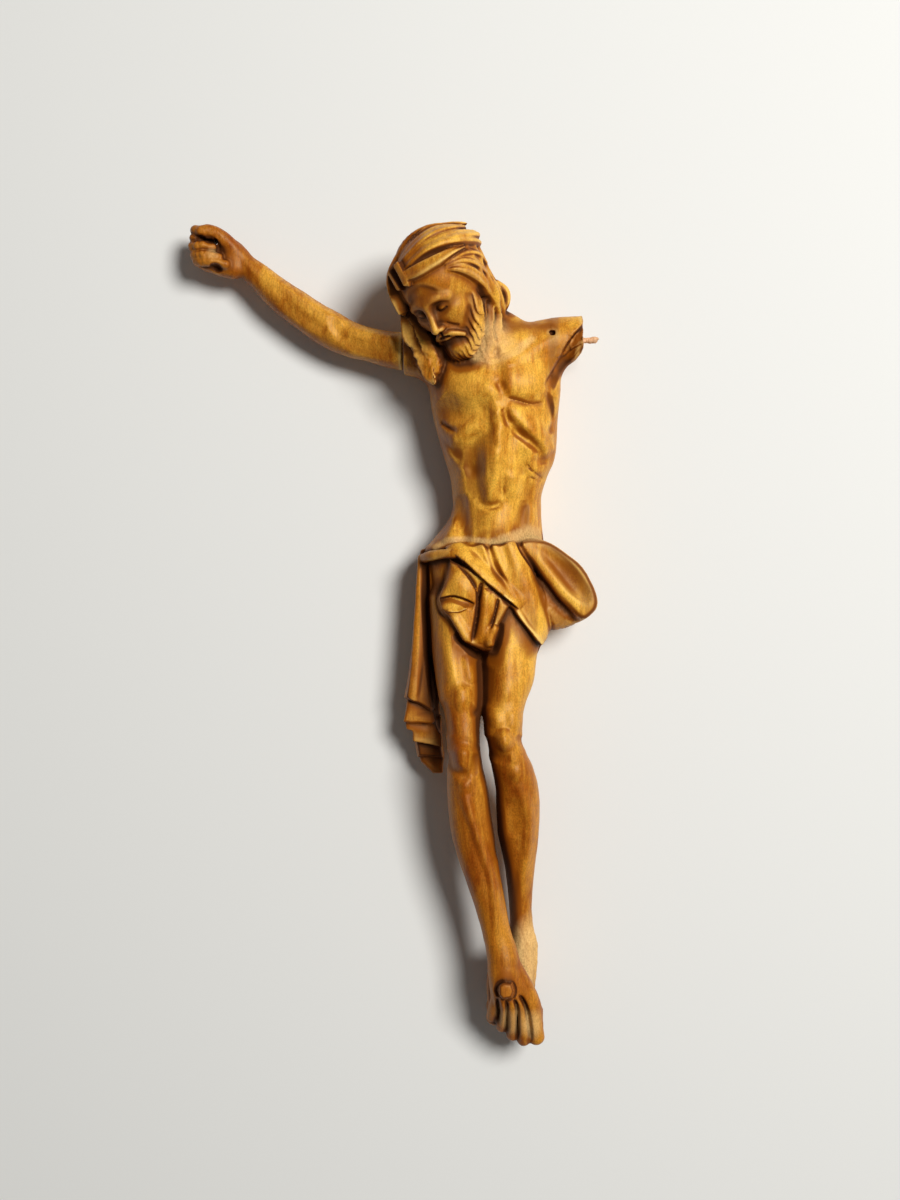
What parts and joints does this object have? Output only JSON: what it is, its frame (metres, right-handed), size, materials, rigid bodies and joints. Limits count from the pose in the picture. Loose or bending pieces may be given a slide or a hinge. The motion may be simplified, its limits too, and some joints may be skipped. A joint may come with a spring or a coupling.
{
  "type": "crucifix corpus figure",
  "caption": "Carved wooden figure of a crucified man in a loincloth, lying on its flat back; the left arm is lost and a broken peg stands out of its shoulder.",
  "frame": {"origin": "centre of the flat of the back, in the plane it lies on", "axes": "+X towards the figure's left side, +Y towards its head, +Z out of its chest"},
  "size_m": [0.102, 0.2035, 0.0352],
  "materials": {
    "carved_wood": "waxed golden brown, worn, darker in the hollows",
    "peg_wood": "raw pale wood, broken at the end"
  },
  "bodies": {
    "root": {"figure": "carved_wood", "right_arm": "carved_wood", "shoulder_peg": "peg_wood"}
  },
  "joints": []
}
